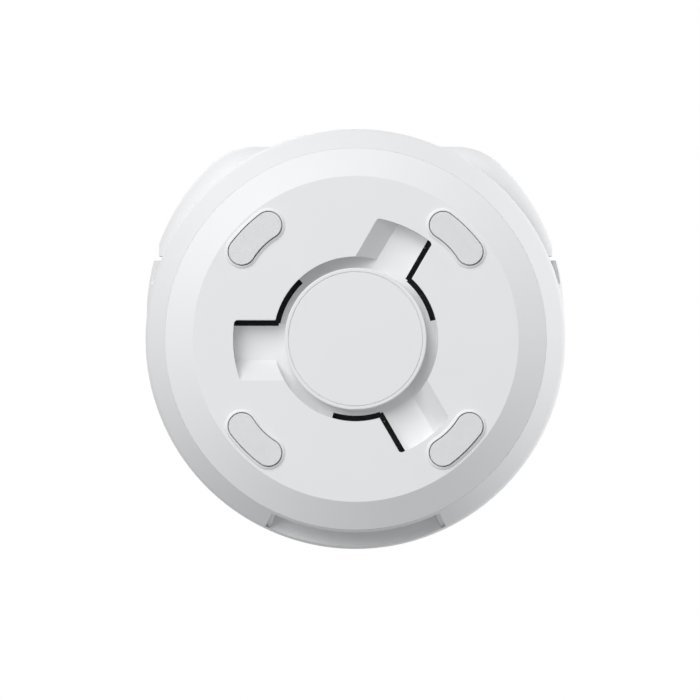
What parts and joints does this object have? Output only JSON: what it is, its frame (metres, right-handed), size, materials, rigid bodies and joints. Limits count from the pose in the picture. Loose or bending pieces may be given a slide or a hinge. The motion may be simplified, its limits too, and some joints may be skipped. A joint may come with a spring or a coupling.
{
  "type": "smoke detector",
  "caption": "Round ceiling smoke alarm: footed mounting base with bayonet socket, smoke inlet gap, offset flat-sided cover, sliding battery drawer and test button.",
  "frame": {"origin": "on the axis of the round base, at the level of the rubber feet", "axes": "+Z from the mounting side to the face that looks into the room; -Y towards the cover's flat side and the battery drawer; +X to the right with the mounting side seen and the flat side up"},
  "size_m": [0.1, 0.1, 0.0436],
  "materials": {
    "white_plastic": "fine matt moulding",
    "button_plastic": "satin",
    "grey_plastic": "satin",
    "dark_plastic": "matt black",
    "pale_rubber": "soft matt",
    "steel_mesh": "fine perforated",
    "zinc_steel": "zinc plated",
    "spring_steel": "bright wire",
    "nickel_strip": "nickel plated",
    "cell_jacket": "plain printed sleeve",
    "board_laminate": "black solder mask",
    "chip_plastic": "moulded epoxy",
    "connector_plastic": "natural nylon",
    "can_aluminium": "drawn can",
    "clear_plastic": "clear moulding",
    "sounder_brass": "rolled disc",
    "lead_copper": "insulated lead"
  },
  "bodies": {
    "housing": {"base_plate": "white_plastic", "centre_cap": "white_plastic", "base_ring": "white_plastic", "lower_shell": "white_plastic", "front_cover": "white_plastic", "foot_right_rear": "pale_rubber", "foot_left_rear": "pale_rubber", "foot_left_front": "pale_rubber", "foot_right_front": "pale_rubber", "chassis": "grey_plastic", "insect_screen": "steel_mesh", "housing_screws": "zinc_steel", "cover_screws": "zinc_steel", "button_bezel": "grey_plastic", "button_spring": "spring_steel", "main_board": "board_laminate", "tact_switch": "chip_plastic", "processor_chip": "chip_plastic", "driver_chip": "chip_plastic", "radio_module": "zinc_steel", "power_connector": "connector_plastic", "capacitors": "can_aluminium", "status_lamp": "clear_plastic", "light_pipe": "clear_plastic", "chamber_base": "dark_plastic", "chamber_lid": "dark_plastic", "chamber_screen": "steel_mesh", "smoke_emitter": "clear_plastic", "smoke_receiver": "dark_plastic", "sounder_horn": "grey_plastic", "sounder_disc": "sounder_brass", "sounder_leads": "lead_copper"},
    "drawer": {"battery_drawer": "white_plastic", "battery_tray": "dark_plastic", "battery_front": "cell_jacket", "battery_rear": "cell_jacket", "contact_plates": "nickel_strip", "contact_springs": "nickel_strip"},
    "button": {"test_button": "button_plastic", "button_clip": "zinc_steel"}
  },
  "joints": [
    {"name": "drawer_slide", "type": "slide", "parent": "housing", "child": "drawer", "axis": [0, -1, 0], "range_m": [0, 0.026]},
    {"name": "button_press", "type": "slide", "parent": "housing", "child": "button", "axis": [0, 0, -1], "range_m": [0, 0.001], "stiffness_N_per_m": 500, "springref_m": -0.002, "deforming": ["button_spring"]}
  ]
}
